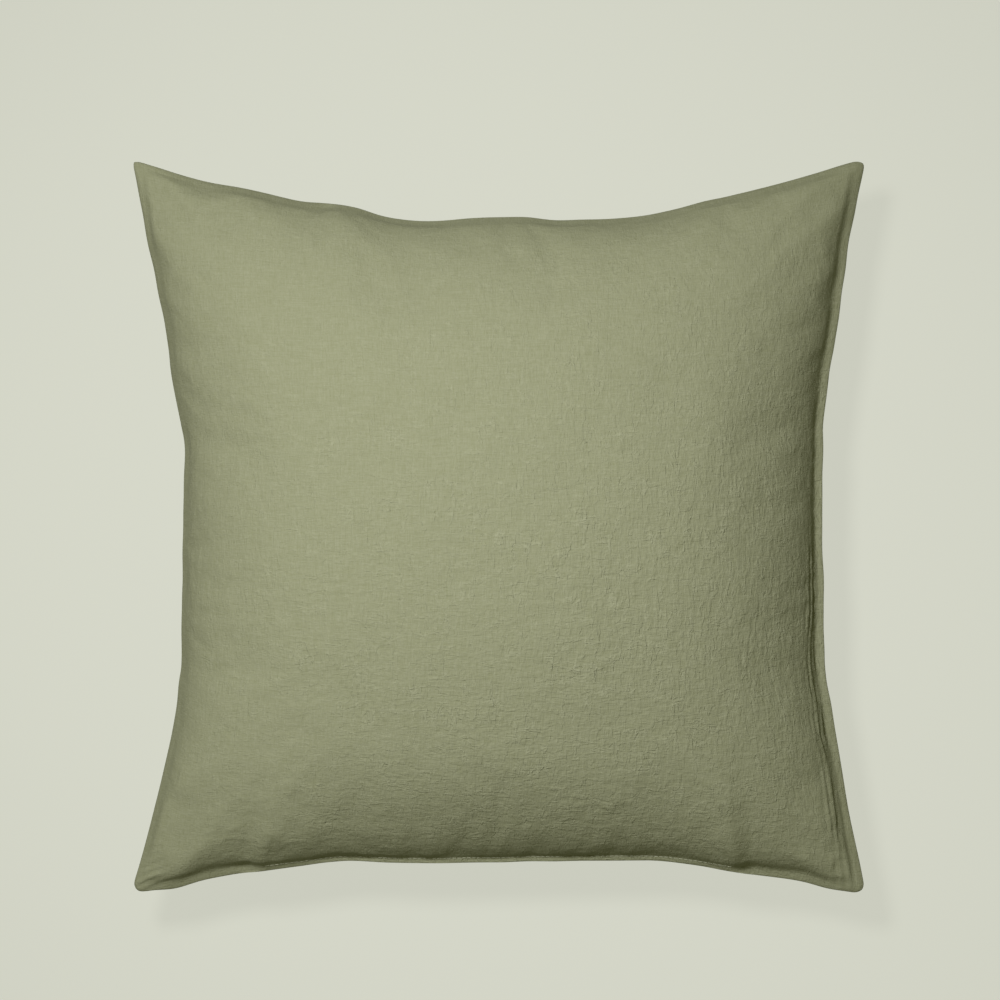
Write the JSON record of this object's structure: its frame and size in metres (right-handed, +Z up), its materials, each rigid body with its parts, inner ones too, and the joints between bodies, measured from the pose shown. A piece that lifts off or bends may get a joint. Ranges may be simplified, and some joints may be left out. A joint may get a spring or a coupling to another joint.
{
  "type": "scatter cushion",
  "caption": "Square filled cushion with a washed-linen cover that opens by a coil zip in one seam, over a removable fibre-filled insert.",
  "frame": {"origin": "on the floor under the middle of the cushion, which lies on its back panel", "axes": "+Z up through the cushion, out of its front panel; +X along the zip, from its bottom stop to its top stops; +Y from the zip's side to the side opposite"},
  "size_m": [0.48, 0.48, 0.166],
  "materials": {
    "linen": "washed plain-weave linen, sage green, matt, finely crinkled",
    "green_thread": "spun polyester sewing thread, sage green",
    "white_thread": "spun polyester sewing thread, off-white",
    "zip_tape": "woven polyester tape, olive",
    "zip_coil": "nylon coil, olive, semi-matt",
    "zip_metal": "lacquered zinc die casting, olive, semi-matt",
    "cotton": "plain-weave cotton, off-white, matt",
    "label": "blank woven satin, off-white",
    "fibre": "loose hollow polyester fibre, white"
  },
  "bodies": {
    "cushion": {"cover_front": "linen", "cover_back": "linen", "cover_seam_needle_thread": "green_thread", "cover_seam_bobbin_thread": "green_thread", "cover_care_label": "label", "zip_tape_front": "zip_tape", "zip_tape_back": "zip_tape", "zip_coil_front": "zip_coil", "zip_coil_back": "zip_coil", "zip_top_stop_front": "zip_metal", "zip_top_stop_back": "zip_metal", "zip_bottom_stop": "zip_metal", "zip_stitch_front": "green_thread", "zip_stitch_back": "green_thread", "insert_casing_front": "cotton", "insert_casing_back": "cotton", "insert_seam_thread": "white_thread", "insert_care_label": "label", "insert_filling": "fibre"},
    "zip_slider": {"zip_slider": "zip_metal"},
    "zip_pull": {"zip_pull_tab": "zip_metal"}
  },
  "joints": [
    {"name": "zip_slide", "type": "slide", "parent": "cushion", "child": "zip_slider", "axis": [1, 0, 0], "range_m": [-0.2905, 0]},
    {"name": "pull_tab_hinge", "type": "hinge", "parent": "zip_slider", "child": "zip_pull", "pos_m": [0.14525, -0.21815, 0.074], "axis": [0, 0, 1], "range_deg": [0, 180]}
  ]
}
